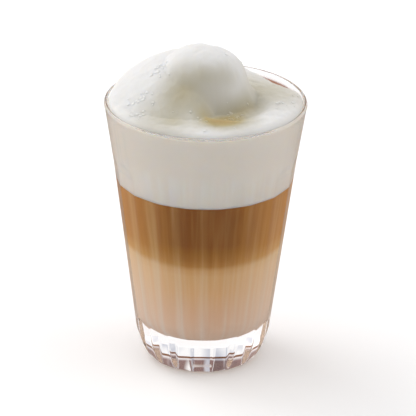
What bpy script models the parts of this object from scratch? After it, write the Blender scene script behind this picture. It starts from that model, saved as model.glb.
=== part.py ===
"""A layered milk coffee in a clear fluted tumbler, topped by a mound of milk foam.

The glass stands on the ground plane with its axis on Z. Its front, seen from -Y, is the middle of a flat.
Each solid is a stack of rings about that axis, skinned ring to ring, so every shape is a rule for a radius
or a height and a list of levels to cut it at.
"""

import math

import bmesh
import bpy
from mathutils import Vector

MM = 0.001

# Glass: the outside, as a round envelope with flats cut into its lower part
GLASS_HEIGHT = 116.5 * MM
RIM_RADIUS = 43.1 * MM
RIM_WALL = 1.9 * MM
LIP_DEPTH = 1.6 * MM
COLLAR_LEVEL = 95.0 * MM
COLLAR_RADIUS = 39.65 * MM
FOOT_RADIUS = 26.3 * MM
HEEL_HEIGHT = 7.0 * MM
HEEL_INSET = 5.0 * MM
HEEL_POWER = 1.4
FLATS = 18
ARCH_HEIGHT = 7.0 * MM
SEGMENTS_PER_FLAT = 4

# Glass: the inside, and the hollow under the foot
FLOOR_LEVEL = 14.0 * MM
FLOOR_ROUNDING = 11.0 * MM
COLLAR_WALL = 2.7 * MM
FLOOR_WALL = 4.6 * MM
PUNT_RADIUS = 17.5 * MM
PUNT_DEPTH = 1.4 * MM

# Glass: how finely its rings follow each part of it
PUNT_RINGS = 4
HEEL_STEPS = 6
WALL_RINGS = 5
ARCH_STEPS = 7
BAND_RINGS = 4
LIP_STEPS = 6
HOLLOW_RINGS = 6
CORNER_STEPS = 5

# Drink: the levels of its layers, and the gap that keeps neighbouring solids apart
GAP = 0.3 * MM
COFFEE_LEVEL = 52.5 * MM
FOAM_LEVEL = 81.8 * MM

# Foam: where its top meets the wall, measured from the rim, and how its edge is rounded
CONTACT_DROP = 1.0 * MM
LOW_CONTACT_DROP = 4.6 * MM
LOW_CONTACT_ANGLE = math.radians(33.0)
LOW_CONTACT_SPREAD = math.radians(28.0)
EDGE_ROUNDING = 3.6 * MM
EDGE_BULGE = 1.3 * MM

# Foam: the round dollop on top, with its middle over the rim plane, and the broad mound that it leans on
DOLLOP_CENTRE = (0.0 * MM, 2.0 * MM, 9.4 * MM)
DOLLOP_HALF = (17.2 * MM, 15.0 * MM, 14.2 * MM)
DOLLOP_ROUND_SHARE = 0.975
MOUND_CENTRE = (-6.0 * MM, 10.0 * MM)
MOUND_LEFT = 36.5 * MM
MOUND_RIGHT = 15.0 * MM
MOUND_FRONT = 37.0 * MM
MOUND_BACK = 30.0 * MM
MOUND_HEIGHT = 18.3 * MM
MERGE = 4.0 * MM
FOLD = 7.0 * MM
SIDE_RINGS = 3
TOP_RINGS = 26

# Foam: the pit at the front and right of the dollop
PIT_CENTRE = (11.0 * MM, -10.0 * MM)
PIT_DEPTH = 5.5 * MM
PIT_RADIUS = 19.0 * MM
PIT_FADE = 9.0 * MM

SEGMENTS = FLATS * SEGMENTS_PER_FLAT
STEP_ANGLE = 2.0 * math.pi / SEGMENTS
HALF_FLAT = math.pi / FLATS
ANGLES = [-math.pi / 2.0 + STEP_ANGLE * index for index in range(SEGMENTS)]


def clear_scene():
    """Remove every object, so that the part starts from an empty scene."""
    for thing in list(bpy.data.objects):
        bpy.data.objects.remove(thing, do_unlink=True)


def blend(low, high, share):
    """Return the value that lies share of the way from low to high."""
    return low + (high - low) * share


def clamp(value):
    """Return value kept between 0 and 1."""
    return min(max(value, 0.0), 1.0)


def ease(share):
    """Return share eased in and out between 0 and 1."""
    share = clamp(share)
    return share * share * (3.0 - 2.0 * share)


def smooth_max(first, second, reach):
    """Return the larger of two heights, with the crease between them filled over reach."""
    overlap = max(reach - abs(first - second), 0.0) / reach
    return max(first, second) + 0.25 * reach * overlap * overlap


def angle_between(first, second):
    """Return the unsigned difference of two directions in radians."""
    return abs((first - second + math.pi) % (2.0 * math.pi) - math.pi)


def levels_between(low, high, count):
    """Return count levels spaced evenly from low to high, both ends included."""
    return [blend(low, high, index / (count - 1)) for index in range(count)]


def envelope_radius(level):
    """Return the round outer radius of the glass at a level above its rounded heel."""
    if level < COLLAR_LEVEL:
        return blend(FOOT_RADIUS, COLLAR_RADIUS, level / COLLAR_LEVEL)
    share = (level - COLLAR_LEVEL) / (GLASS_HEIGHT - COLLAR_LEVEL)
    return blend(COLLAR_RADIUS, RIM_RADIUS, share)


def flat_share(level):
    """Return how deep the flats are at a level: 1 along the wall, 0 above the tops of the arches."""
    rise = clamp((COLLAR_LEVEL - level) / ARCH_HEIGHT)
    return rise * (2.0 - rise)


def outer_radius(level, angle):
    """Return the outer radius in one direction, where a flat may cut into the envelope."""
    round_radius = envelope_radius(level)
    apothem = round_radius * (1.0 - flat_share(level) * (1.0 - math.cos(HALF_FLAT)))
    from_front = angle + math.pi / 2.0
    off_middle = (from_front + HALF_FLAT) % (2.0 * HALF_FLAT) - HALF_FLAT
    return min(round_radius, apothem / math.cos(off_middle))


def wall_thickness(level):
    """Return the wall's thickness under the round envelope at a level."""
    if level > COLLAR_LEVEL:
        share = (level - COLLAR_LEVEL) / (GLASS_HEIGHT - COLLAR_LEVEL)
        return blend(COLLAR_WALL, RIM_WALL, share)
    share = (level - FLOOR_LEVEL) / (COLLAR_LEVEL - FLOOR_LEVEL)
    return blend(FLOOR_WALL, COLLAR_WALL, ease(share))


def cavity_radius(level):
    """Return the radius of the round hollow in the glass, with its rounded floor edge."""
    wall = envelope_radius(level) - wall_thickness(level)
    above_floor = level - FLOOR_LEVEL
    if above_floor >= FLOOR_ROUNDING:
        return wall
    drop = FLOOR_ROUNDING - above_floor
    return wall - FLOOR_ROUNDING + math.sqrt(FLOOR_ROUNDING**2 - drop**2)


def contact_level(angle):
    """Return the level where the foam's top meets the wall in one direction."""
    share = 1.0 - angle_between(angle, LOW_CONTACT_ANGLE) / LOW_CONTACT_SPREAD
    return GLASS_HEIGHT - blend(CONTACT_DROP, LOW_CONTACT_DROP, ease(share))


def pit_share(x, y):
    """Return 1 in the middle of the pit and 0 outside it."""
    distance = math.hypot(x - PIT_CENTRE[0], y - PIT_CENTRE[1])
    return ease((PIT_RADIUS - distance) / PIT_FADE)


def mound_height(x, y):
    """Return the height of the broad mound over the rim plane."""
    dx = x - MOUND_CENTRE[0]
    dy = y - MOUND_CENTRE[1]
    across = dx / (MOUND_RIGHT if dx > 0.0 else MOUND_LEFT)
    along = dy / (MOUND_BACK if dy > 0.0 else MOUND_FRONT)
    return MOUND_HEIGHT * max(1.0 - across**2 - along**2, 0.0)


def dollop_height(x, y):
    """Return the height of the dollop over the rim plane, with straight lower sides."""
    across = (x - DOLLOP_CENTRE[0]) / DOLLOP_HALF[0]
    along = (y - DOLLOP_CENTRE[1]) / DOLLOP_HALF[1]
    share = math.hypot(across, along)
    on_top = min(share, DOLLOP_ROUND_SHARE)
    height = math.sqrt(1.0 - on_top**2)
    side_drop = on_top / height * (share - on_top)
    return DOLLOP_CENTRE[2] + DOLLOP_HALF[2] * (height - side_drop)


def foam_level(share, angle, radius):
    """Return the level of the foam's top at a share of the way from the axis to the wall."""
    x = radius * share * math.cos(angle)
    y = radius * share * math.sin(angle)
    around = EDGE_BULGE - PIT_DEPTH * pit_share(x, y)
    relief = smooth_max(mound_height(x, y), around, MERGE)
    relief = smooth_max(relief, dollop_height(x, y), FOLD)
    inward = clamp((1.0 - share) * radius / EDGE_ROUNDING)
    edge = math.sqrt(inward * (2.0 - inward))
    drop = GLASS_HEIGHT - contact_level(angle)
    return GLASS_HEIGHT - drop * share**4 + edge * relief


def ring_at(level, radius_of):
    """Return one level ring of points whose radius is a rule of level and angle."""
    ring = []
    for angle in ANGLES:
        radius = radius_of(level, angle)
        ring.append(Vector((radius * math.cos(angle), radius * math.sin(angle), level)))
    return ring


def round_ring(level, radius):
    """Return one level ring of points on a circle."""
    return ring_at(level, lambda _level, _angle: radius)


def skin_rings(mesh, rings, first_centre, last_centre):
    """Skin a stack of rings into a closed body, with a fan of triangles at each end."""
    loops = [[mesh.verts.new(point) for point in ring] for ring in rings]
    for lower, upper in zip(loops, loops[1:]):
        for index in range(SEGMENTS):
            after = (index + 1) % SEGMENTS
            mesh.faces.new((lower[index], lower[after], upper[after], upper[index]))
    start = mesh.verts.new(first_centre)
    end = mesh.verts.new(last_centre)
    for index in range(SEGMENTS):
        after = (index + 1) % SEGMENTS
        mesh.faces.new((start, loops[0][after], loops[0][index]))
        mesh.faces.new((end, loops[-1][index], loops[-1][after]))


def make_material(name, colour, roughness, transmission=0.0, ior=1.45):
    """Return a Principled material of one colour, given as linear red, green and blue."""
    material = bpy.data.materials.new(name)
    material.use_nodes = True
    shader = material.node_tree.nodes["Principled BSDF"]
    shader.inputs["Base Color"].default_value = (*colour, 1.0)
    shader.inputs["Metallic"].default_value = 0.0
    shader.inputs["Roughness"].default_value = roughness
    shader.inputs["Transmission Weight"].default_value = transmission
    shader.inputs["IOR"].default_value = ior
    return material


def add_turned_body(name, rings, first_level, last_level, material):
    """Add one closed body from rings, smooth but for the edges that the form has."""
    mesh = bmesh.new()
    skin_rings(mesh, rings, Vector((0.0, 0.0, first_level)), Vector((0.0, 0.0, last_level)))
    bmesh.ops.triangulate(mesh, faces=mesh.faces)
    data = bpy.data.meshes.new(name)
    mesh.to_mesh(data)
    mesh.free()
    data.shade_smooth()
    data.set_sharp_from_angle(angle=math.radians(15.0))
    data.materials.append(material)
    body = bpy.data.objects.new(name, data)
    bpy.context.scene.collection.objects.link(body)
    return body


def foot_rings():
    """Return the rings under the glass, from the punt's middle out, and round the heel."""
    rings = []
    for step in range(1, PUNT_RINGS + 1):
        turn = step / PUNT_RINGS
        level = PUNT_DEPTH * 0.5 * (1.0 + math.cos(math.pi * turn))
        rings.append(round_ring(level, PUNT_RADIUS * turn))
    for step in range(HEEL_STEPS + 1):
        lift = 0.5 * math.pi * step / HEEL_STEPS
        out = math.sin(lift) ** (2.0 / HEEL_POWER)
        up = 1.0 - max(math.cos(lift), 0.0) ** (2.0 / HEEL_POWER)
        level = HEEL_HEIGHT * up
        inset = HEEL_INSET * (1.0 - out)
        rings.append(ring_at(level, lambda at, angle: outer_radius(at, angle) - inset))
    return rings


def wall_rings():
    """Return the rings up the outside of the glass, close together where the flats arch over."""
    straight_top = COLLAR_LEVEL - ARCH_HEIGHT
    levels = levels_between(HEEL_HEIGHT, straight_top, WALL_RINGS)[1:]
    for step in range(1, ARCH_STEPS + 1):
        lift = step / ARCH_STEPS
        levels.append(straight_top + ARCH_HEIGHT * math.sin(0.5 * math.pi * lift))
    levels += levels_between(COLLAR_LEVEL, GLASS_HEIGHT - LIP_DEPTH, BAND_RINGS)[1:]
    return [ring_at(level, outer_radius) for level in levels]


def lip_rings():
    """Return the rings over the fire-polished lip, from the outside to the inside."""
    middle = RIM_RADIUS - 0.5 * RIM_WALL
    rings = []
    for turn in range(1, LIP_STEPS):
        lift = math.pi * turn / LIP_STEPS
        radius = middle + 0.5 * RIM_WALL * math.cos(lift)
        rings.append(round_ring(GLASS_HEIGHT - LIP_DEPTH * (1.0 - math.sin(lift)), radius))
    return rings


def cavity_levels(low, high, count):
    """Return levels of the hollow from low to high, close together round the floor's edge."""
    corner_top = FLOOR_LEVEL + FLOOR_ROUNDING
    levels = []
    if low < corner_top:
        for turn in range(1, CORNER_STEPS):
            lift = 0.5 * math.pi * turn / CORNER_STEPS
            levels.append(corner_top - FLOOR_ROUNDING * math.cos(lift))
        low = corner_top
    return levels + levels_between(low, high, count)


def build_glass():
    """Build the tumbler as one body: foot, fluted wall, lip, and the round hollow inside."""
    levels = cavity_levels(FLOOR_LEVEL, GLASS_HEIGHT - LIP_DEPTH, HOLLOW_RINGS)
    inside = [round_ring(level, cavity_radius(level)) for level in reversed(levels)]
    floor_ring = round_ring(FLOOR_LEVEL, cavity_radius(FLOOR_LEVEL))
    rings = foot_rings() + wall_rings() + lip_rings() + inside + [floor_ring]
    clear_glass = make_material("clear_glass", (0.95, 0.97, 0.98), 0.02, 1.0, 1.5)
    return add_turned_body("glass", rings, PUNT_DEPTH, FLOOR_LEVEL, clear_glass)


def build_layer(name, low, high, count, material):
    """Build one layer of the drink as a solid that fills the hollow between two levels."""
    levels = cavity_levels(low, high, count)
    rings = [round_ring(level + GAP, cavity_radius(level) - GAP) for level in levels]
    if low <= FLOOR_LEVEL:
        rings.insert(0, round_ring(low + GAP, cavity_radius(low) - GAP))
    return add_turned_body(name, rings, low + GAP, high + GAP, material)


def build_foam():
    """Build the milk foam from its level underside up to its mound and dollop."""
    side_levels = levels_between(FOAM_LEVEL, GLASS_HEIGHT - 2.0 * LOW_CONTACT_DROP, SIDE_RINGS)
    rings = [round_ring(level + GAP, cavity_radius(level) - GAP) for level in side_levels]
    for step in range(TOP_RINGS):
        share = math.cos(0.5 * math.pi * step / TOP_RINGS)
        ring = []
        for angle in ANGLES:
            radius = cavity_radius(contact_level(angle)) - GAP
            level = foam_level(share, angle, radius)
            ring.append(Vector((radius * share * math.cos(angle), radius * share * math.sin(angle), level)))
        rings.append(ring)
    top = foam_level(0.0, 0.0, RIM_RADIUS)
    milk_froth = make_material("milk_foam", (0.87, 0.85, 0.80), 0.75)
    return add_turned_body("milk_foam", rings, FOAM_LEVEL + GAP, top, milk_froth)


def main():
    """Build the tumbler and the three layers of the drink that stand in it."""
    clear_scene()
    build_glass()
    milk_coffee = make_material("milk_coffee", (0.50, 0.34, 0.19), 0.35)
    build_layer("milk_layer", FLOOR_LEVEL, COFFEE_LEVEL - GAP, 4, milk_coffee)
    brown_coffee = make_material("brown_coffee", (0.19, 0.08, 0.03), 0.35)
    build_layer("coffee_layer", COFFEE_LEVEL, FOAM_LEVEL - GAP, 4, brown_coffee)
    build_foam()


main()
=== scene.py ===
"""A layered milk coffee in a clear fluted tumbler, dressed for the camera.

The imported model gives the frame. Every piece here stands for one of its nodes, at that node's size and
place, or lies on one. Sizes are in metres and angles in radians. The front of the glass faces -Y.
"""

import logging
import math
from dataclasses import dataclass
from enum import Enum
from typing import Sequence

import bpy
import numpy as np
from bpy.types import ID, Material, Node, NodeSocket, NodeTree, Object
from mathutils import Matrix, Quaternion, Vector

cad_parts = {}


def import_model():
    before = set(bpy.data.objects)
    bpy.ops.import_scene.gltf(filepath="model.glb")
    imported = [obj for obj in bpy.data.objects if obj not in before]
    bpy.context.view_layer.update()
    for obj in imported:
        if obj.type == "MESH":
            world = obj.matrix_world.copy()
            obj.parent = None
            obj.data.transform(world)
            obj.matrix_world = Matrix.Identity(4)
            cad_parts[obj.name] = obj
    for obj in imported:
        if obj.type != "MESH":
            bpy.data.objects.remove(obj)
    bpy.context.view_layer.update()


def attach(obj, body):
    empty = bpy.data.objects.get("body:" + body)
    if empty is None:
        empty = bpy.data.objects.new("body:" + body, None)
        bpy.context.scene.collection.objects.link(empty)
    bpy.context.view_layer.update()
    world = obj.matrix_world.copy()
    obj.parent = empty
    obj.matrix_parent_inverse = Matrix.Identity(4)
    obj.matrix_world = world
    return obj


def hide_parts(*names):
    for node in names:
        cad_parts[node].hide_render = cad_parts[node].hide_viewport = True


MM = 0.001
TAU = 2.0 * math.pi
HARD_EDGE = math.radians(60.0)
LOG = logging.getLogger("drink")

# The levels where one layer of the drink ends and the next begins.
COFFEE_LEVEL = 52.5 * MM
FOAM_LEVEL = 81.8 * MM

Array = np.ndarray
Triple = tuple[float, float, float]

# Values with their sRGB hex colours, in rising order.
Stops = tuple[tuple[float, str], ...]

# Kinds of nodes, and settings of nodes, that several trees share. A mix of colours takes them at in6 and
# in7 and gives the result at its output 2.
MATH = "ShaderNodeMath"
MAP_RANGE = "ShaderNodeMapRange"
MIX = "ShaderNodeMix"
NOISE = "ShaderNodeTexNoise"
PRINCIPLED = "ShaderNodeBsdfPrincipled"
SPLIT = "ShaderNodeSeparateXYZ"
OUTPUT = "ShaderNodeOutputMaterial"
PLUS = {"operation": "ADD"}
MINUS = {"operation": "SUBTRACT"}
TIMES = {"operation": "MULTIPLY"}
UNSIGNED = {"operation": "ABSOLUTE"}
SMOOTH = {"interpolation_type": "SMOOTHSTEP"}
COLOURS = {"data_type": "RGBA"}


class Layer(Enum):
    """The named material slots of the record, one for each layer and one for the glass."""

    GLASS = "glass"
    MILK_COFFEE = "milk_coffee"
    BROWN_COFFEE = "brown_coffee"
    MILK_FOAM = "milk_foam"


def linear(colour: str) -> tuple[float, float, float, float]:
    """Turn an sRGB hex colour into linear red, green, blue and alpha.

    Args:
        colour: Six hex digits, such as "c3bcb4".

    Returns:
        The linear colour with an alpha of 1.
    """
    channels = [int(colour[place : place + 2], 16) / 255.0 for place in (0, 2, 4)]
    bent = [c / 12.92 if c <= 0.04045 else ((c + 0.055) / 1.055) ** 2.4 for c in channels]
    return (bent[0], bent[1], bent[2], 1.0)


def ease(share: Array) -> Array:
    """Return share eased in and out between 0 and 1."""
    share = np.clip(share, 0.0, 1.0)
    return share * share * (3.0 - 2.0 * share)


def smooth_max(first: Array, second: Array, reach: float) -> Array:
    """Return the larger of two heights, with the crease between them filled over reach."""
    overlap = np.maximum(reach - np.abs(first - second), 0.0) / reach
    return np.maximum(first, second) + 0.25 * reach * overlap * overlap


def smooth_min(first: Array, second: Array, reach: float) -> Array:
    """Return the smaller of two sizes, with the edge between them rounded over reach."""
    return -smooth_max(-first, -second, reach)


def angle_between(first: Array, second: float) -> Array:
    """Return the unsigned difference of two directions."""
    return np.abs((first - second + math.pi) % TAU - math.pi)


def add_node(tree: NodeTree, kind: str, settings: dict[str, object] | None = None, **sockets: object) -> Node:
    """Add a node to a tree, set it up and link it.

    Args:
        tree: The node tree that gets the node.
        kind: The node's type name.
        settings: Properties of the node, by name.
        **sockets: Values or links for the inputs. A name is the input's name with underscores for spaces,
            or in0, in1 and so on for its place. A node is linked by its first output, an output socket
            by itself, and anything else is a value.

    Returns:
        The new node.
    """
    node = tree.nodes.new(kind)
    for name, value in (settings or {}).items():
        setattr(node, name, value)
    for name, value in sockets.items():
        place = name[2:]
        is_place = name.startswith("in") and place.isdigit()
        socket = node.inputs[int(place) if is_place else name.replace("_", " ")]
        source = value.outputs[0] if isinstance(value, Node) else value
        if isinstance(source, NodeSocket):
            tree.links.new(source, socket)
        else:
            socket.default_value = value
    return node


def tone_at(tree: NodeTree, value: Node | NodeSocket, stops: Stops) -> Node:
    """Give each value of a node or socket its tone, which runs from stop to stop.

    Args:
        tree: The node tree that gets the nodes.
        value: The node or socket of the value.
        stops: Values with their sRGB hex colours, in rising order.

    Returns:
        The node of the colour.
    """
    low, high = stops[0][0], stops[-1][0]
    share = add_node(tree, MAP_RANGE, Value=value, From_Min=low, From_Max=high)
    ramp = add_node(tree, "ShaderNodeValToRGB", Fac=share)
    elements = ramp.color_ramp.elements
    while len(elements) < len(stops):
        elements.new(0.5)
    for element, (place, colour) in zip(elements, stops):
        element.position = (place - low) / (high - low)
        element.color = linear(colour)
    return ramp


def new_material(name: str) -> tuple[Material, NodeTree]:
    """Make an empty node material.

    Args:
        name: The material's name.

    Returns:
        The material and its node tree.
    """
    material = bpy.data.materials.new(name)
    material.use_nodes = True
    tree = material.node_tree
    tree.nodes.clear()
    return material, tree


def put_in_scene(name: str, data: ID) -> Object:
    """Make an object and link it to the scene.

    Args:
        name: The object's name.
        data: Its mesh, light or camera.

    Returns:
        The new object.
    """
    thing = bpy.data.objects.new(name, data)
    bpy.context.scene.collection.objects.link(thing)
    return thing


def ring_points(radii: Array, levels: Array, angles: Array) -> Array:
    """Return points on rings about Z, as an array of points, from radii and levels per angle."""
    radii, levels, angles = np.broadcast_arrays(radii, levels, angles)
    return np.stack([radii * np.cos(angles), radii * np.sin(angles), levels], axis=-1)


def skinned_mesh(name: str, rings: Array, first: Sequence[float], last: Sequence[float]) -> Object:
    """Skin a stack of rings into one closed body with a fan at each end.

    Args:
        name: The object's name.
        rings: Points as rings by segments by 3, turning anticlockwise seen from above, listed from the
            bottom up on an outside and from the top down on an inside.
        first: The middle point of the fan that closes the first ring.
        last: The middle point of the fan that closes the last ring.

    Returns:
        The new object, linked to the scene and shaded smooth.
    """
    count, segments, _ = rings.shape
    points = np.vstack([rings.reshape(-1, 3), [first], [last]])
    here = np.arange(segments)
    after = (here + 1) % segments
    faces: list[tuple[int, ...]] = []
    for row in range(count - 1):
        low, high = row * segments, (row + 1) * segments
        faces += zip(low + here, low + after, high + after, high + here)
    start, end, top = count * segments, count * segments + 1, (count - 1) * segments
    faces += ((start, int(b), int(a)) for a, b in zip(here, after))
    faces += ((end, int(top + a), int(top + b)) for a, b in zip(here, after))
    mesh = bpy.data.meshes.new(name)
    mesh.from_pydata(points.tolist(), [], [tuple(int(i) for i in face) for face in faces])
    mesh.shade_smooth()
    mesh.set_sharp_from_angle(angle=HARD_EDGE)
    return put_in_scene(name, mesh)


@dataclass(frozen=True)
class PressedGlass:
    """Clear soda-lime glass, pressed in a mould and fire-polished: sharp reflections, nearly no tint."""

    tint: str = "fdfcfc"
    ior: float = 1.5
    roughness: float = 0.0

    def material(self) -> Material:
        """Make the glass material.

        Returns:
            The material.
        """
        material, tree = new_material("pressed_soda_lime_glass")
        shader = add_node(
            tree,
            PRINCIPLED,
            Base_Color=linear(self.tint),
            Roughness=self.roughness,
            IOR=self.ior,
            Transmission_Weight=1.0,
        )
        add_node(tree, OUTPUT, Surface=shader)
        return material


@dataclass(frozen=True)
class GatheredLight:
    """Upright streaks of light, which the flats and ridges of the glass gather on what it holds.

    Each flat throws a soft band behind its middle, strongest towards the light, and faint uneven threads run
    between. A band's half width and core are shares of a flat's width.
    """

    flats: int = 18
    band_half: float = 0.3
    band_core: float = 0.04
    towards: float = math.radians(-32.0)
    lit_from: float = 0.55
    weakest: float = 0.2
    thread_width: float = 2.2 * MM
    thread_length: float = 45.0 * MM
    thread_noise: tuple[float, float] = (0.4, 0.75)
    thread_detail: float = 2.0
    thread_share: float = 0.7
    radius: float = 32.0 * MM

    def factor(self, tree: NodeTree, split: Node) -> Node:
        """Work out the gathered light: 0 where there is none and 1 in the middle of a streak.

        Args:
            tree: The material's node tree.
            split: The node that splits the place on the object into X, Y and Z.

        Returns:
            The node of the streaks' strength.
        """
        forward = add_node(tree, MATH, TIMES, in0=split.outputs["Y"], in1=-1.0)
        turn = add_node(tree, MATH, {"operation": "ARCTAN2"}, in0=split.outputs["X"], in1=forward)
        flat = add_node(tree, MATH, TIMES, in0=turn, in1=self.flats / TAU)
        nearest = add_node(tree, MATH, {"operation": "ROUND"}, in0=flat)
        off = add_node(tree, MATH, UNSIGNED, in0=add_node(tree, MATH, MINUS, in0=flat, in1=nearest))
        band = add_node(tree, MAP_RANGE, SMOOTH, Value=off, From_Min=self.band_half, From_Max=self.band_core)
        from_light = add_node(tree, MATH, MINUS, in0=turn, in1=self.towards)
        facing = add_node(tree, MATH, {"operation": "COSINE"}, in0=from_light)
        strength = add_node(tree, MAP_RANGE, Value=facing, From_Min=self.lit_from, To_Min=self.weakest)
        around = add_node(tree, MATH, TIMES, in0=turn, in1=self.radius / self.thread_width)
        along = add_node(tree, MATH, TIMES, in0=split.outputs["Z"], in1=1.0 / self.thread_length)
        unrolled = add_node(tree, "ShaderNodeCombineXYZ", X=around, Y=along)
        flat_noise = {"noise_dimensions": "2D"}
        noise = add_node(tree, NOISE, flat_noise, Vector=unrolled, Scale=1.0, Detail=self.thread_detail)
        none, full = self.thread_noise
        most = self.thread_share
        threads = add_node(tree, MAP_RANGE, Value=noise, From_Min=none, From_Max=full, To_Max=most)
        banded = add_node(tree, MATH, TIMES, in0=band, in1=strength)
        return add_node(tree, MATH, PLUS, in0=banded, in1=threads)


@dataclass(frozen=True)
class LayeredCoffee:
    """Milk coffee under brown coffee, poured and settled: opaque, with a golden edge where they mix.

    The colours are deeper than they look, because glass that touches a drink throws part of its light back.
    Towards the left and right they are painted lighter and more orange, as painted light where side light
    shines through the drink's thin edges, and streaks of painted light run under the flats.
    """

    facing: Stops = (
        (14.8 * MM, "f5d8c2"),
        (28.5 * MM, "f4ccaa"),
        (40.0 * MM, "f0c491"),
        (48.5 * MM, "ecc189"),
        (51.4 * MM, "e2b278"),
        (53.6 * MM, "c48c4b"),
        (56.5 * MM, "b27b3d"),
        (60.0 * MM, "a46e31"),
        (63.5 * MM, "97612d"),
        (FOAM_LEVEL, "935c2b"),
    )
    # Painted light: lighter, more orange colours towards the left and right, where side light shines through.
    sides: Stops = (
        (14.8 * MM, "fae0cd"),
        (48.5 * MM, "fadab0"),
        (51.8 * MM, "f6d6a4"),
        (54.5 * MM, "e2ae66"),
        (60.0 * MM, "d4984a"),
        (FOAM_LEVEL, "d09042"),
    )
    side_start: float = 0.3
    side_end: float = 0.95
    lightening: float = 0.26
    roughness: float = 0.4
    gloss: float = 0.0

    def material(self, name: str) -> Material:
        """Make the drink's material, coloured by height, with painted light at the sides and in streaks.

        Args:
            name: The material's name.

        Returns:
            The material.
        """
        material, tree = new_material(name)
        place = add_node(tree, "ShaderNodeTexCoord").outputs["Object"]
        split = add_node(tree, SPLIT, in0=place)
        level = add_node(tree, "ShaderNodeVectorMath", TIMES, in0=place, in1=(1, 1, 0))
        way = add_node(tree, "ShaderNodeVectorMath", {"operation": "NORMALIZE"}, in0=level)
        across = add_node(tree, SPLIT, in0=way)
        aside = add_node(tree, MATH, UNSIGNED, in0=across.outputs["X"])
        # Mixed towards the lighter colours at the left and right: painted side light.
        depth = add_node(
            tree,
            MIX,
            COLOURS,
            Factor=add_node(tree, MAP_RANGE, Value=aside, From_Min=self.side_start, From_Max=self.side_end),
            in6=tone_at(tree, split.outputs["Z"], self.facing),
            in7=tone_at(tree, split.outputs["Z"], self.sides),
        )
        streak = add_node(tree, MATH, TIMES, in0=GatheredLight().factor(tree, split), in1=-self.lightening)
        power = add_node(tree, MATH, PLUS, in0=streak, in1=1.0)
        shader = add_node(
            tree,
            PRINCIPLED,
            Base_Color=add_node(tree, "ShaderNodeGamma", Color=depth.outputs[2], Gamma=power),
            Roughness=self.roughness,
            Specular_IOR_Level=self.gloss,
        )
        add_node(tree, OUTPUT, Surface=shader)
        return material


@dataclass(frozen=True)
class StainAndShade:
    """A soft round patch of coffee tint and painted shade on the foam, with its middle and reach in
    millimetres.
    """

    middle: Triple
    reach: float
    strength: float

    def add(self, tree: NodeTree, place: NodeSocket, total: float | Node) -> Node:
        """Add this patch's strength at a place to the sum so far.

        Args:
            tree: The material's node tree.
            place: The socket of the place on the object.
            total: The sum of the patches before this one.

        Returns:
            The node of the new sum.
        """
        centre = tuple(part * MM for part in self.middle)
        away = add_node(tree, "ShaderNodeVectorMath", {"operation": "DISTANCE"}, in0=place, in1=centre)
        near = add_node(
            tree,
            MAP_RANGE,
            SMOOTH,
            Value=away.outputs["Value"],
            From_Min=self.reach * MM,
            From_Max=0.0,
            To_Max=self.strength,
        )
        return add_node(tree, MATH, PLUS, in0=near, in1=total)


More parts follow.
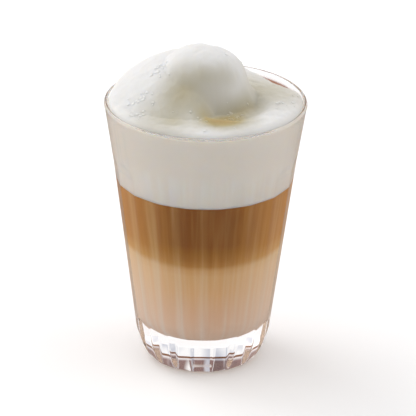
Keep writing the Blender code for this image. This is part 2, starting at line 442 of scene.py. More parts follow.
@dataclass(frozen=True)
class SteamedMilkFoam:
    """Milk foam, steamed to a fine froth: matt and soft, as light scatters between its small bubbles.

    Where the coffee was poured through it, it keeps olive beige patches, partly coffee tint and partly
    painted shade on the dollop's face, the pit and the slopes that turn from the light. Against the glass it
    is wet and painted whiter, partly its wet colour and partly painted light for the light that the glass
    holds back.
    """

    # The foam against the glass: its wet colour, lightened with painted light, and a paler colour for painted
    # streaks.
    wet: str = "fbf1e8"
    wet_painted_streak: str = "fff8f1"
    streaks_from: float = 92.0 * MM
    streaks_to: float = 98.0 * MM
    # From the clean foam to the darkest patch of coffee tint and painted shade.
    tint_and_shade_tones: Stops = (
        (0.0, "d8d7d5"),
        (0.2, "c7c4bc"),
        (0.42, "b7b2a2"),
        (0.72, "a6976f"),
        (1.0, "a38d61"),
    )
    # Patches of coffee tint and painted shade, darkest on the dollop's face and in the pit before it.
    stains_and_shade: tuple[StainAndShade, ...] = (
        StainAndShade((10.1, -23.7, 116.7), 17.4, 0.87),
        StainAndShade((-7.8, -10.8, 125.4), 16.9, 0.5),
        StainAndShade((4.4, -28.9, 130.5), 17.4, 1.6),
        StainAndShade((-14.7, -24.9, 116.1), 23.1, 0.42),
        StainAndShade((12.5, -23.1, 139.0), 21.2, 1.6),
        StainAndShade((23.6, 8.3, 112.7), 32.7, 0.46),
        StainAndShade((17.1, -9.6, 115.5), 11.9, 0.39),
        StainAndShade((-1.0, -16.2, 137.3), 10.3, 0.5),
        StainAndShade((-13.6, -28.2, 110.6), 11.2, 0.4),
    )
    roughness: float = 0.8
    gloss: float = 0.2
    scatter: float = 2.2 * MM
    scatter_shares: Triple = (1.0, 0.9, 0.75)

    def stained_and_shaded(self, tree: NodeTree) -> Node:
        """Colour the foam that is open to the air, with its coffee tint and painted shade.

        Args:
            tree: The material's node tree.

        Returns:
            The node of the colour.
        """
        place = add_node(tree, "ShaderNodeTexCoord").outputs["Object"]
        total: float | Node = 0.0
        for tint_and_shade in self.stains_and_shade:
            total = tint_and_shade.add(tree, place, total)
        return tone_at(tree, total, self.tint_and_shade_tones)

    def material(self) -> Material:
        """Make the foam's material.

        Returns:
            The material.
        """
        material, tree = new_material("steamed_milk_foam")
        exposed = add_node(tree, "ShaderNodeAttribute", {"attribute_name": "open_to_air"})
        place = add_node(tree, "ShaderNodeTexCoord")
        split = add_node(tree, SPLIT, in0=place.outputs["Object"])
        height, smooth, fluted = split.outputs["Z"], self.streaks_to, self.streaks_from
        flutes = add_node(tree, MAP_RANGE, Value=height, From_Min=smooth, From_Max=fluted)
        streak = add_node(tree, MATH, TIMES, in0=GatheredLight().factor(tree, split), in1=flutes)
        # Painted streaks of light under the flats, on the foam against the glass.
        wet = add_node(tree, MIX, COLOURS, Factor=streak, in6=linear(self.wet), in7=linear(self.wet_painted_streak))
        share, dry = exposed.outputs["Fac"], self.stained_and_shaded(tree)
        colour = add_node(tree, MIX, COLOURS, Factor=share, in6=wet.outputs[2], in7=dry)
        shader = add_node(
            tree,
            PRINCIPLED,
            {"subsurface_method": "RANDOM_WALK"},
            Base_Color=colour.outputs[2],
            Roughness=self.roughness,
            Subsurface_Weight=1.0,
            Subsurface_Radius=self.scatter_shares,
            Subsurface_Scale=self.scatter,
            Specular_IOR_Level=self.gloss,
        )
        add_node(tree, OUTPUT, Surface=shader)
        return material


@dataclass(frozen=True)
class BubbleSkin:
    """The wet skin of a milk bubble: the foam's colour with its coffee tint and painted shade, a little
    paler, with a little gloss that catches the light.
    """

    roughness: float = 0.3
    gloss: float = 0.35
    paling: float = 0.78

    def material(self) -> Material:
        """Make the bubbles' material.

        Returns:
            The material.
        """
        material, tree = new_material("wet_milk_bubble_skin")
        paler = add_node(tree, "ShaderNodeGamma", Color=SteamedMilkFoam().stained_and_shaded(tree), Gamma=self.paling)
        rough, gloss = self.roughness, self.gloss
        shader = add_node(tree, PRINCIPLED, Base_Color=paler, Roughness=rough, Specular_IOR_Level=gloss)
        add_node(tree, OUTPUT, Surface=shader)
        return material


@dataclass(frozen=True)
class DriedCoffee:
    """A thin film of milky coffee left on the glass: reddish brown, denser towards the foam, and torn."""

    rim: float
    colour: str = "cf9478"
    dense: float = 1.0
    thin: float = 0.05
    depth: float = 3.3 * MM
    fade_end: float = 0.55
    patch: float = 2.5 * MM
    patch_detail: float = 3.0
    tears: tuple[float, float] = (0.2, 0.4)
    roughness: float = 0.35

    def material(self) -> Material:
        """Make the film's material.

        Returns:
            The material.
        """
        material, tree = new_material("dried_milky_coffee_film")
        place = add_node(tree, "ShaderNodeTexCoord").outputs["Object"]
        split = add_node(tree, SPLIT, in0=place)
        cover = add_node(
            tree,
            MAP_RANGE,
            SMOOTH,
            Value=split.outputs["Z"],
            From_Min=self.rim - self.depth,
            From_Max=self.rim - self.fade_end * self.depth,
            To_Min=self.dense,
            To_Max=self.thin,
        )
        noise = add_node(tree, NOISE, Vector=place, Scale=1.0 / self.patch, Detail=self.patch_detail)
        bare, whole = self.tears
        torn = add_node(tree, MAP_RANGE, Value=noise, From_Min=bare, From_Max=whole)
        shader = add_node(
            tree,
            PRINCIPLED,
            Base_Color=linear(self.colour),
            Roughness=self.roughness,
            Alpha=add_node(tree, MATH, TIMES, in0=cover, in1=torn),
        )
        add_node(tree, OUTPUT, Surface=shader)
        return material


@dataclass
class Tumbler:
    """The pressed tumbler: round band, flats with arched tops, thick base and the hollow for the drink."""

    height: float = 116.5 * MM
    rim_radius: float = 43.1 * MM
    rim_wall: float = 1.9 * MM
    lip_depth: float = 1.6 * MM
    collar_level: float = 95.0 * MM
    collar_radius: float = 39.65 * MM
    foot_radius: float = 26.8 * MM
    heel_height: float = 13.0 * MM
    heel_inset: float = 5.0 * MM
    heel_power: float = 1.6
    flats: int = 18
    arch_height: float = 7.0 * MM
    ridge_rounding: float = 3.0 * MM
    arch_softness: float = 0.12 * MM
    floor_level: float = 14.8 * MM
    floor_rounding: float = 10.0 * MM
    collar_wall: float = 2.7 * MM
    floor_wall: float = 4.6 * MM
    punt_radius: float = 17.5 * MM
    punt_depth: float = 1.4 * MM
    segments_per_flat: int = 18
    ridge_packing: float = 0.55
    band_start: float = 0.6 * MM
    punt_rings: int = 10
    heel_rings: int = 16
    wall_rings: tuple[int, int, int] = (28, 30, 8)
    lip_rings: int = 14
    inner_rings: int = 30
    floor_rings: int = 14

    def angles(self) -> Array:
        """Work out the directions of the mesh's segments, packed towards the ridges.

        Returns:
            The angles about the axis.
        """
        half = math.pi / self.flats
        steps = np.arange(self.segments_per_flat) / self.segments_per_flat * 2.0 - 1.0
        packed = np.sin(0.5 * math.pi * steps) * self.ridge_packing + steps * (1.0 - self.ridge_packing)
        middles = -0.5 * math.pi + np.arange(self.flats) * 2.0 * half
        return (middles[:, None] + half * packed[None, :]).ravel()

    def envelope(self, level: Array) -> Array:
        """Work out the round outline that the flats are cut from.

        Args:
            level: Height above the table.

        Returns:
            The outer radius, as if the foot weren't rounded.
        """
        lower = self.foot_radius + (self.collar_radius - self.foot_radius) * level / self.collar_level
        share = (level - self.collar_level) / (self.height - self.collar_level)
        upper = self.collar_radius + (self.rim_radius - self.collar_radius) * share
        return np.where(level < self.collar_level, lower, upper)

    def outside(self, level: Array, angle: Array) -> Array:
        """Work out the outer radius in one direction, where flats with rounded ridges cut the envelope.

        Args:
            level: Height above the table.
            angle: Direction about the axis.

        Returns:
            The radius of the outside.
        """
        half = math.pi / self.flats
        round_radius = self.envelope(level)
        rise = np.clip((self.collar_level - level) / self.arch_height, -1.0, 1.0)
        share = np.where(rise > 0.0, rise * (2.0 - rise), 2.0 * rise)
        apothem = round_radius * (1.0 - share * (1.0 - math.cos(half)))
        off_middle = np.abs((angle + 0.5 * math.pi + half) % (2.0 * half) - half)
        flat = apothem / np.cos(off_middle)
        centre = (apothem - self.ridge_rounding) / math.cos(half)
        from_ridge = half - off_middle
        across = centre * np.sin(from_ridge)
        ridge = centre * np.cos(from_ridge) + np.sqrt(self.ridge_rounding**2 - across**2)
        turn = np.arctan((apothem - self.ridge_rounding) / apothem * math.tan(half))
        fluted = np.where(off_middle > turn, ridge, flat)
        return smooth_min(fluted, round_radius, self.arch_softness)

    def inside(self, level: Array) -> Array:
        """Work out the hollow, with its rounded floor edge.

        Args:
            level: Height above the table.

        Returns:
            The radius of the inside.
        """
        upper = (level - self.collar_level) / (self.height - self.collar_level)
        lower = ease((level - self.floor_level) / (self.collar_level - self.floor_level))
        above = self.collar_wall + (self.rim_wall - self.collar_wall) * upper
        below = self.floor_wall + (self.collar_wall - self.floor_wall) * lower
        wall = self.envelope(level) - np.where(level > self.collar_level, above, below)
        drop = np.clip(self.floor_rounding - (level - self.floor_level), 0.0, self.floor_rounding)
        return wall - self.floor_rounding + np.sqrt(self.floor_rounding**2 - drop**2)

    def floor_levels(self) -> Array:
        """Return levels round the floor's edge, from the floor up."""
        lift = 0.5 * math.pi * np.arange(self.floor_rings) / self.floor_rings
        return self.floor_level + self.floor_rounding * (1.0 - np.cos(lift))

    def foot_rings(self, angles: Array) -> list[Array]:
        """Work out the rings under the glass and round its heel, where the flats run on.

        Args:
            angles: The directions of the mesh's segments.

        Returns:
            The rings, from the middle of the hollow under the foot to the top of the heel.
        """
        rings = []
        for turn in np.linspace(1.0 / self.punt_rings, 1.0, self.punt_rings):
            level = self.punt_depth * 0.5 * (1.0 + math.cos(math.pi * turn))
            rings.append(ring_points(self.punt_radius * turn, level, angles))
        for lift in np.linspace(0.0, 0.5 * math.pi, self.heel_rings):
            out = math.sin(lift) ** (2.0 / self.heel_power)
            up = 1.0 - max(math.cos(lift), 0.0) ** (2.0 / self.heel_power)
            level = np.full_like(angles, self.heel_height * up)
            radius = self.outside(level, angles) - self.heel_inset * (1.0 - out)
            rings.append(ring_points(radius, level, angles))
        return rings

    def build(self) -> Object:
        """Build the tumbler's mesh as one closed body.

        Returns:
            The new object.
        """
        angles = self.angles()
        lip_foot = self.height - self.lip_depth
        band_foot = self.collar_level + self.band_start
        bounds = (self.heel_height, self.collar_level - self.arch_height, band_foot, lip_foot)
        stretches = zip(bounds, bounds[1:], self.wall_rings)
        levels = np.concatenate([np.linspace(low, high, count)[1:] for low, high, count in stretches])
        rings = self.foot_rings(angles)
        rings += [ring_points(self.outside(np.full_like(angles, z), angles), z, angles) for z in levels]
        middle = self.rim_radius - 0.5 * self.rim_wall
        for lift in np.linspace(0.0, math.pi, self.lip_rings)[1:-1]:
            level = lip_foot + self.lip_depth * math.sin(lift)
            rings.append(ring_points(middle + 0.5 * self.rim_wall * math.cos(lift), level, angles))
        corner = self.floor_level + self.floor_rounding
        down = np.concatenate([np.linspace(lip_foot, corner, self.inner_rings), self.floor_levels()[::-1]])
        rings += [ring_points(self.inside(np.float64(z)), z, angles) for z in down]
        under, floor = (0.0, 0.0, self.punt_depth), (0.0, 0.0, self.floor_level)
        return skinned_mesh("tumbler", np.array(rings), under, floor)

    def dress(self, piece: Object) -> None:
        """Give the tumbler its glass and tie it to its node.

        Args:
            piece: The finished mesh object.
        """
        piece.data.materials.append(PressedGlass().material())
        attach(piece, "root")
        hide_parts("glass")


@dataclass
class DrinkLayer:
    """One clear-edged layer of the drink, which fills the hollow between two levels."""

    name: str
    node: str
    slot: Layer
    low: float
    high: float
    tumbler: Tumbler
    reach: float = 0.06 * MM
    segments: int = 288
    rows: int = 24

    def build(self) -> Object:
        """Build the layer, reaching just into the wall so that no air gap shows.

        Returns:
            The new object.
        """
        angles = TAU * np.arange(self.segments) / self.segments
        on_floor = self.low <= self.tumbler.floor_level
        corner = self.tumbler.floor_level + self.tumbler.floor_rounding
        start = corner if on_floor else self.low
        levels = np.linspace(start, self.high, self.rows)
        if on_floor:
            levels = np.concatenate([self.tumbler.floor_levels(), levels])
        radii = self.tumbler.inside(levels) + self.reach
        levels = np.where(levels <= self.tumbler.floor_level, levels - self.reach, levels)
        rings = ring_points(radii[:, None], levels[:, None], angles[None, :])
        return skinned_mesh(self.name, rings, (0.0, 0.0, levels[0]), (0.0, 0.0, self.high))

    def dress(self, piece: Object) -> None:
        """Give the layer its coffee and tie it to its node.

        Args:
            piece: The finished mesh object.
        """
        piece.data.materials.append(LayeredCoffee().material(self.slot.value))
        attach(piece, "root")
        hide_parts(self.node)


@dataclass(frozen=True)
class FrothGrain:
    """The small unevenness of the froth: waves of a few millimetres that cross at odd angles and sway."""

    waves: int = 14
    turn: float = 2.4
    shortest: float = 2.2 * MM
    longer_by: float = 0.55 * MM
    sway: float = 1.3
    sway_rate: float = 2.1
    offset: float = 1.7
    share: float = 0.5
    share_step: float = 0.06
    height: float = 0.036 * MM

    def lift(self, x: Array, y: Array) -> Array:
        """Add up the waves at each place.

        Args:
            x: Places along X.
            y: Places along Y.

        Returns:
            The height of the grain over the smooth foam.
        """
        total = np.zeros_like(x)
        for wave in range(self.waves):
            heading = self.turn * wave
            length = self.shortest + self.longer_by * wave
            along = (x * math.cos(heading) + y * math.sin(heading)) / length * TAU
            across = (y * math.cos(heading) - x * math.sin(heading)) / length * self.sway_rate
            swayed = along + self.sway * np.sin(across + wave)
            total = total + np.sin(swayed + self.offset * wave) * (self.share + self.share_step * wave)
        return self.height * total


@dataclass
class MilkFoam:
    """The milk foam: level below, mounded over the rim at the left, with a dollop and a pit before it."""

    tumbler: Tumbler
    level: float = FOAM_LEVEL
    contact_drop: float = 1.0 * MM
    low_contact_drop: float = 5.2 * MM
    low_contact_angle: float = math.radians(40.0)
    low_contact_spread: float = math.radians(36.0)
    edge_rounding: float = 3.6 * MM
    edge_bulge: float = 1.3 * MM
    dollop_centre: Triple = (0.0 * MM, 2.0 * MM, 9.1 * MM)
    dollop_half: Triple = (17.2 * MM, 15.0 * MM, 14.2 * MM)
    dollop_round_share: float = 0.975
    mound_centre: tuple[float, float] = (-6.0 * MM, 10.0 * MM)
    mound_left: float = 36.5 * MM
    mound_right: float = 15.0 * MM
    mound_front: float = 37.0 * MM
    mound_back: float = 30.0 * MM
    mound_height: float = 18.1 * MM
    merge: float = 7.0 * MM
    fold: float = 10.0 * MM
    pit_centre: tuple[float, float] = (11.0 * MM, -10.0 * MM)
    pit_depth: float = 5.5 * MM
    pit_radius: float = 19.0 * MM
    pit_fade: float = 9.0 * MM
    grain: FrothGrain = FrothGrain()
    edge_power: int = 4
    reach: float = 0.06 * MM
    segments: int = 480
    rings: int = 150
    wall_rings: int = 15
    packing: float = 0.9

    def contact(self, angle: Array) -> Array:
        """Return the level where the foam meets the wall in one direction."""
        share = ease(1.0 - angle_between(angle, self.low_contact_angle) / self.low_contact_spread)
        return self.tumbler.height - self.contact_drop - (self.low_contact_drop - self.contact_drop) * share

    def pit_share(self, x: Array, y: Array) -> Array:
        """Return 1 in the middle of the pit and 0 outside it."""
        distance = np.hypot(x - self.pit_centre[0], y - self.pit_centre[1])
        return ease((self.pit_radius - distance) / self.pit_fade)

    def mound(self, x: Array, y: Array) -> Array:
        """Work out the broad mound.

        Args:
            x: Places along X.
            y: Places along Y.

        Returns:
            The mound's height over the rim plane.
        """
        dx, dy = x - self.mound_centre[0], y - self.mound_centre[1]
        across = dx / np.where(dx > 0.0, self.mound_right, self.mound_left)
        along = dy / np.where(dy > 0.0, self.mound_back, self.mound_front)
        return self.mound_height * np.maximum(1.0 - across**2 - along**2, 0.0)

    def dollop(self, x: Array, y: Array) -> Array:
        """Work out the dollop: round on top, with straight lower sides.

        Args:
            x: Places along X.
            y: Places along Y.

        Returns:
            The dollop's height over the rim plane.
        """
        across = (x - self.dollop_centre[0]) / self.dollop_half[0]
        along = (y - self.dollop_centre[1]) / self.dollop_half[1]
        share = np.hypot(across, along)
        on_top = np.minimum(share, self.dollop_round_share)
        height = np.sqrt(1.0 - on_top**2)
        return self.dollop_centre[2] + self.dollop_half[2] * (height - on_top / height * (share - on_top))

    def top(self, share: Array, angle: Array, radius: Array) -> Array:
        """Work out the level of the foam's top.

        Args:
            share: How far from the axis to the wall, from 0 to 1.
            angle: Direction about the axis.
            radius: The radius of the wall in that direction.

        Returns:
            The level above the table.
        """
        x, y = radius * share * np.cos(angle), radius * share * np.sin(angle)
        level = self.edge_bulge - self.pit_depth * self.pit_share(x, y)
        relief = smooth_max(self.mound(x, y), level, self.merge)
        relief = smooth_max(relief, self.dollop(x, y), self.fold)
        inward = np.clip((1.0 - share) * radius / self.edge_rounding, 0.0, 1.0)
        edge = np.sqrt(inward * (2.0 - inward))
        drop = self.tumbler.height - self.contact(angle)
        return self.tumbler.height - drop * share**self.edge_power + edge * (relief + self.grain.lift(x, y))

    def build(self) -> Object:
        """Build the foam up the wall and over the mound, and mark what is open to the air.

        Returns:
            The new object.
        """
        angles = TAU * np.arange(self.segments) / self.segments
        contact = self.contact(angles)
        radius = self.tumbler.inside(contact) + self.reach
        rings = []
        for lift in np.linspace(0.0, 1.0, self.wall_rings + 1)[:-1]:
            level = self.level + (contact - self.level) * lift
            rings.append(ring_points(self.tumbler.inside(level) + self.reach, level, angles))
        for share in np.sin(0.5 * math.pi * np.linspace(1.0, 0.0, self.rings + 1)[:-1]) ** self.packing:
            rings.append(ring_points(radius * share, self.top(share, angles, radius), angles))
        peak = float(self.top(np.float64(0.0), np.float64(0.0), np.float64(radius[0])))
        body = skinned_mesh("milk_froth", np.array(rings), (0.0, 0.0, self.level), (0.0, 0.0, peak))
        exposed = np.zeros(len(body.data.vertices), dtype=np.float32)
        exposed[(len(rings) - self.rings + 1) * self.segments : -2] = 1.0
        exposed[-1] = 1.0
        body.data.attributes.new("open_to_air", "FLOAT", "POINT").data.foreach_set("value", exposed)
        return body

    def dress(self, piece: Object) -> None:
        """Give the foam its finish and tie it to its node.

        Args:
            piece: The finished mesh object.
        """
        piece.data.materials.append(SteamedMilkFoam().material())
        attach(piece, "root")
        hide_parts("milk_foam")


@dataclass
class FoamBubbles:
    """Bubbles that stand out of the foam, scattered by a node tree where the froth is coarse."""

    foam: MilkFoam
    seed: int = 23
    per_square_metre: float = 2.2e5
    smallest: float = 0.3 * MM
    largest: float = 0.85 * MM
    flatness: float = 0.36
    sunk_share: float = 0.55
    clear_of_wall: float = 2.0 * MM
    sphere_cuts: int = 2
    between_clusters: float = 0.02
    cluster_core: float = 1.2
    clusters: tuple[Triple, ...] = (
        (-20.0 * MM, -1.0 * MM, 5.0 * MM),
        (-26.0 * MM, -14.0 * MM, 6.0 * MM),
        (-30.0 * MM, -22.0 * MM, 6.0 * MM),
        (-2.0 * MM, -27.0 * MM, 4.0 * MM),
        (32.0 * MM, -8.0 * MM, 6.0 * MM),
        (12.0 * MM, -20.0 * MM, 7.0 * MM),
    )

    def coarseness(self, points: Array) -> Array:
        """Work out how coarse the froth is, which sets how many bubbles stand there.

        Args:
            points: Points on the foam, one a row.

        Returns:
            The coarseness at each point, from 0 to 1.
        """
        total = np.full(len(points), self.between_clusters)
        for x, y, reach in self.clusters:
            away = np.hypot(points[:, 0] - x, points[:, 1] - y)
            total = np.maximum(total, ease(self.cluster_core - away / reach))
        height = self.foam.tumbler.height
        wall = self.foam.tumbler.inside(np.minimum(points[:, 2], height))
        inside = np.hypot(points[:, 0], points[:, 1]) < wall - self.clear_of_wall
        return total * inside * (points[:, 2] > height - self.foam.low_contact_drop - self.foam.pit_depth)

    def scatter_tree(self) -> NodeTree:
        """Build the node tree that sets bubbles on a surface, with its sizes as named inputs.

        Returns:
            The node tree.
        """
        tree = bpy.data.node_groups.new("scatter_bubbles", "GeometryNodeTree")
        inlet = tree.interface
        inlet.new_socket("Surface", in_out="INPUT", socket_type="NodeSocketGeometry")
        for name in ("Per square metre", "Smallest", "Largest", "Flatness", "Sunk share"):
            inlet.new_socket(name, in_out="INPUT", socket_type="NodeSocketFloat")
        inlet.new_socket("Seed", in_out="INPUT", socket_type="NodeSocketInt")
        inlet.new_socket("Finish", in_out="INPUT", socket_type="NodeSocketMaterial")
        inlet.new_socket("Bubbles", in_out="OUTPUT", socket_type="NodeSocketGeometry")
        start = tree.nodes.new("NodeGroupInput")
        coarse = add_node(tree, "GeometryNodeInputNamedAttribute", {"data_type": "FLOAT"}, Name="coarse")
        spots = add_node(
            tree,
            "GeometryNodeDistributePointsOnFaces",
            Mesh=start.outputs["Surface"],
            Density=add_node(tree, MATH, TIMES, in0=start.outputs["Per square metre"], in1=coarse),
            Seed=start.outputs["Seed"],
        )
        size = add_node(
            tree,
            "FunctionNodeRandomValue",
            {"data_type": "FLOAT"},
            in2=start.outputs["Smallest"],
            in3=start.outputs["Largest"],
            Seed=start.outputs["Seed"],
        )
        ball = add_node(tree, "GeometryNodeMeshIcoSphere", Radius=1.0, Subdivisions=self.sphere_cuts)
        height = add_node(tree, MATH, TIMES, in0=size.outputs[1], in1=start.outputs["Flatness"])
        half = add_node(tree, "ShaderNodeCombineXYZ", X=size.outputs[1], Y=size.outputs[1], Z=height)
        placed = add_node(
            tree,
            "GeometryNodeInstanceOnPoints",
            Points=spots,
            Instance=ball,
            Rotation=spots.outputs["Rotation"],
            Scale=half,
        )
        sinking = add_node(tree, MATH, TIMES, in0=start.outputs["Sunk share"], in1=-1.0)
        down = add_node(tree, MATH, TIMES, in0=height, in1=sinking)
        sunk = add_node(
            tree,
            "GeometryNodeTranslateInstances",
            Instances=placed,
            Translation=add_node(tree, "ShaderNodeCombineXYZ", Z=down),
        )
        real = add_node(tree, "GeometryNodeRealizeInstances", Geometry=sunk)
        smooth = add_node(tree, "GeometryNodeSetShadeSmooth", Geometry=real)
        finish = start.outputs["Finish"]
        dressed = add_node(tree, "GeometryNodeSetMaterial", Geometry=smooth, Material=finish)
        add_node(tree, "NodeGroupOutput", Bubbles=dressed)
        return tree

    def build(self, froth: Object) -> Object:
        """Build the bubbles on the foam.

        Args:
            froth: The finished foam piece.

        Returns:
            The bubbles as one piece.
        """
        carrier = put_in_scene("bubble_ground", froth.data.copy())
        points = np.empty(len(carrier.data.vertices) * 3)
        carrier.data.vertices.foreach_get("co", points)
        coarse = self.coarseness(points.reshape(-1, 3)).astype(np.float32)
        carrier.data.attributes.new("coarse", "FLOAT", "POINT").data.foreach_set("value", coarse)
        modifier = carrier.modifiers.new("bubbles", "NODES")
        modifier.node_group = self.scatter_tree()
        values = {
            "Per square metre": self.per_square_metre,
            "Smallest": self.smallest,
            "Largest": self.largest,
            "Flatness": self.flatness,
            "Sunk share": self.sunk_share,
            "Seed": self.seed,
            "Finish": BubbleSkin().material(),
        }
        for item in modifier.node_group.interface.items_tree:
            if item.in_out == "INPUT" and item.name in values:
                modifier[item.identifier] = values[item.name]
        graph = bpy.context.evaluated_depsgraph_get()
        mesh = bpy.data.meshes.new_from_object(carrier.evaluated_get(graph))
        bpy.data.objects.remove(carrier)
        return put_in_scene("foam_bubbles", mesh)

    def dress(self, piece: Object) -> None:
        """Tie the bubbles to the glass's body."""
        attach(piece, "root")


@dataclass
class CoffeeFilm:
    """The film of coffee that stays on the inside of the glass where the foam has sunk."""

    foam: MilkFoam
    first: float = math.radians(5.0)
    last: float = math.radians(64.0)
    overlap: float = 1.5 * MM
    below_rim: float = 1.4 * MM
    thickness: float = 0.12 * MM
    into_wall: float = 0.02 * MM
    steps: int = 80
    rows: int = 10

    def build(self) -> Object:
        """Build the film as a thin closed strip on the wall.

        Returns:
            The new object.
        """
        tumbler = self.foam.tumbler
        angles = np.linspace(self.first, self.last, self.steps)
        low = self.foam.contact(angles) - self.overlap
        high = np.full_like(angles, tumbler.height - self.below_rim)
        sheets = []
        for inset in (-self.into_wall, self.thickness):
            for share in np.linspace(0.0, 1.0, self.rows):
                level = low + (high - low) * share
                sheets.append(ring_points(tumbler.inside(level) - inset, level, angles))
        points = np.array(sheets).reshape(-1, 3)
        count, rows = self.steps, self.rows
        faces = []
        for sheet in (0, 1):
            for row in range(rows - 1):
                for step in range(count - 1):
                    base = (sheet * rows + row) * count + step
                    quad = (base, base + 1, base + count + 1, base + count)
                    faces.append(quad if sheet == 0 else quad[::-1])
        inner = rows * count
        top = (rows - 1) * count
        for step in range(count - 1):
            faces.append((step + 1, step, inner + step, inner + step + 1))
            faces.append((top + step, top + step + 1, inner + top + step + 1, inner + top + step))
        for row in range(rows - 1):
            start, after = row * count, (row + 1) * count
            faces.append((start, after, inner + after, inner + start))
            end, end_after = start + count - 1, after + count - 1
            faces.append((end_after, end, inner + end, inner + end_after))
        mesh = bpy.data.meshes.new("coffee_film")
        mesh.from_pydata(points.tolist(), [], faces)
        mesh.shade_smooth()
        return put_in_scene("coffee_film", mesh)

    def dress(self, piece: Object) -> None:
        """Give the film its finish and tie it to the glass's body.

        Args:
            piece: The finished mesh object.
        """
        piece.data.materials.append(DriedCoffee(self.foam.tumbler.height).material())
        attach(piece, "root")


@dataclass
class Studio:
    """The pale floor, the soft light and the camera."""

    floor_half: float = 6.0
    distance: float = 2.8
    elevation: float = math.radians(23.5)
    lens: float = 569.0
    aim: Triple = (1.6 * MM, 0.0, 66.9 * MM)
    roll: float = math.radians(0.8)
    room_glow: float = 0.46
    glows: tuple[tuple[str, float, float, float], ...] = (
        ("Y", -0.95, 0.2, 0.6),
        ("Y", -0.5, -1.0, 0.25),
        ("Z", 0.0, 1.0, 0.05),
        ("X", -0.3, -1.0, 0.7),
        ("X", 0.3, 1.0, 0.55),
    )
    # A dusky beige below the horizon, painted shade that glossy rays see for the floor, and a brown line of
    # painted shade.
    low_painted_shade: Stops = (
        (-0.04, "b8a496"),
        (0.0, "ffffff"),
        (0.168, "ffffff"),
        (0.178, "7d4e33"),
        (0.212, "7d4e33"),
        (0.235, "f4f0f0"),
    )
    # Painted reflections of the shaded milk, as mauve blocks above the line.
    blocks: Stops = (
        (0.26, "d8d0d0"),
        (0.31, "8a6e6d"),
        (0.5, "7c605f"),
    )
    high_surround: Stops = ((0.6, "ffffff"),)
    painted_reflections_facing: tuple[float, float] = (0.15, 0.45)
    block_width: float = 0.05
    block_gap: tuple[float, float] = (0.53, 0.64)
    streak_width: float = 0.06
    streak_noise: tuple[float, float] = (0.45, 0.65)
    # Cool grey upright streaks of painted shade.
    painted_streak_tone: str = "c9cdd8"
    floor_tone: str = "fdfdfd"
    floor_roughness: float = 0.9
    key_place: Triple = (-1.2, 1.0, 1.7)
    key_size: float = 1.2
    key_power: float = 13.0
    far_clip: float = 50.0

    def floor(self) -> None:
        """Build the floor and mark it as stage."""
        mesh = bpy.data.meshes.new("floor")
        reach = self.floor_half
        corners = [(-reach, -reach, 0.0), (reach, -reach, 0.0), (reach, reach, 0.0), (-reach, reach, 0.0)]
        mesh.from_pydata(corners, [], [(0, 1, 2, 3)])
        floor = put_in_scene("floor", mesh)
        material, tree = new_material("white_matt_floor")
        tone = linear(self.floor_tone)
        shader = add_node(tree, PRINCIPLED, Base_Color=tone, Roughness=self.floor_roughness)
        add_node(tree, OUTPUT, Surface=shader)
        mesh.materials.append(material)
        # Glossy rays pass the floor and meet the surround's dusky lower half, a painted shade in reflections.
        floor.visible_glossy = False

    def softbox(self, name: str, place: Sequence[float], size: float, power: float) -> None:
        """Hang one square softbox that faces the drink.

        Args:
            name: The light's name.
            place: Where it hangs.
            size: The length of its side.
            power: Its power in watts.
        """
        data = bpy.data.lights.new(name, "AREA")
        data.shape = "SQUARE"
        data.size = size
        data.energy = power
        lamp = put_in_scene(name, data)
        lamp.location = place
        lamp.rotation_euler = (Vector(self.aim) - Vector(place)).to_track_quat("-Z", "Y").to_euler()

    def painted_base_reflections(self, tree: NodeTree, split: Node) -> Node:
        """Paint shade and reflections on the surround behind the glass, to be seen through the clear base.

        Mauve blocks, painted reflections of the shaded milk, stand on a brown line of painted shade, with
        gaps between them and cool upright streaks of painted shade over all.

        Args:
            tree: The surround's node tree.
            split: The node that splits the direction into X, Y and Z.

        Returns:
            The mix node of the painted colour.
        """
        line = {"noise_dimensions": "1D"}
        across = split.outputs["X"]
        noise = add_node(tree, NOISE, line, W=across, Scale=1.0 / self.streak_width, Detail=1.0)
        low, high = self.streak_noise
        streak = add_node(tree, MAP_RANGE, Value=noise, From_Min=low, From_Max=high)
        spacing = add_node(tree, NOISE, line, W=across, Scale=1.0 / self.block_width, Detail=0.0)
        low, high = self.block_gap
        # The painted shade line, with the painted reflections as blocks between gaps.
        wall = add_node(
            tree,
            MIX,
            COLOURS,
            Factor=add_node(tree, MAP_RANGE, Value=spacing, From_Min=low, From_Max=high),
            in6=tone_at(tree, split.outputs["Z"], self.low_painted_shade + self.blocks + self.high_surround),
            in7=tone_at(tree, split.outputs["Z"], self.low_painted_shade + self.high_surround),
        )
        darken = COLOURS | {"blend_type": "MULTIPLY"}
        return add_node(tree, MIX, darken, Factor=streak, in6=wall.outputs[2], in7=linear(self.painted_streak_tone))

    def surround(self) -> None:
        """Light the room from a pale surround: brightest behind and above, dim on the camera's side."""
        world = bpy.data.worlds.new("pale_room")
        bpy.context.scene.world = world
        world.use_nodes = True
        tree = world.node_tree
        tree.nodes.clear()
        place = add_node(tree, "ShaderNodeTexCoord")
        split = add_node(tree, SPLIT, in0=place.outputs["Generated"])
        total: float | Node = self.room_glow
        for axis, start, stop, gain in self.glows:
            way = split.outputs[axis]
            part = add_node(tree, MAP_RANGE, SMOOTH, Value=way, From_Min=start, From_Max=stop, To_Max=gain)
            total = add_node(tree, MATH, PLUS, in0=part, in1=total)
        near, far = self.painted_reflections_facing
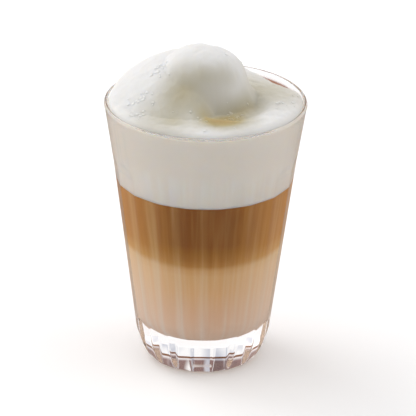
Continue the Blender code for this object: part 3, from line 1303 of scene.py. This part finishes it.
        # Behind the glass the surround carries the painted shade and reflections; elsewhere only the dusky
        # beige below.
        colour = add_node(
            tree,
            MIX,
            COLOURS,
            Factor=add_node(tree, MAP_RANGE, Value=split.outputs["Y"], From_Min=near, From_Max=far),
            in6=tone_at(tree, split.outputs["Z"], self.low_painted_shade[:2]),
            in7=self.painted_base_reflections(tree, split).outputs[2],
        )
        glow = add_node(tree, "ShaderNodeBackground", Color=colour.outputs[2], Strength=total)
        add_node(tree, "ShaderNodeOutputWorld", Surface=glow)

    def camera(self) -> None:
        """Set up the camera on its long lens."""
        data = bpy.data.cameras.new("camera")
        data.lens = self.lens
        data.clip_end = self.far_clip
        camera = put_in_scene("camera", data)
        back = Vector((0.0, -math.cos(self.elevation), math.sin(self.elevation)))
        camera.location = Vector(self.aim) + back * self.distance
        upright = (-back).to_track_quat("-Z", "Y")
        camera.rotation_euler = (upright @ Quaternion((0.0, 0.0, 1.0), self.roll)).to_euler()
        bpy.context.scene.camera = camera

    def build(self) -> None:
        """Build the floor, hang the lights and place the camera."""
        self.floor()
        self.surround()
        self.softbox("key_softbox", self.key_place, self.key_size, self.key_power)
        self.camera()
        bpy.context.scene.view_settings.view_transform = "Standard"


def main() -> None:
    """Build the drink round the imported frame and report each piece."""
    logging.basicConfig(level=logging.INFO, format="%(name)s: %(message)s")
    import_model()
    Studio().build()
    tumbler = Tumbler()
    foam = MilkFoam(tumbler)
    film = CoffeeFilm(foam)
    bubbles = FoamBubbles(foam)
    low, middle, high = tumbler.floor_level, COFFEE_LEVEL, foam.level
    milk_coffee = DrinkLayer("milk_coffee_fill", "milk_layer", Layer.MILK_COFFEE, low, middle, tumbler)
    coffee = DrinkLayer("brown_coffee_fill", "coffee_layer", Layer.BROWN_COFFEE, middle, high, tumbler)
    froth = foam.build()
    made = [(builder, builder.build()) for builder in (tumbler, milk_coffee, coffee)]
    made += [(foam, froth), (bubbles, bubbles.build(froth)), (film, film.build())]
    for builder, piece in made:
        builder.dress(piece)
        LOG.info("%s has %d faces", piece.name, len(piece.data.polygons))


if __name__ == "__main__":
    main()
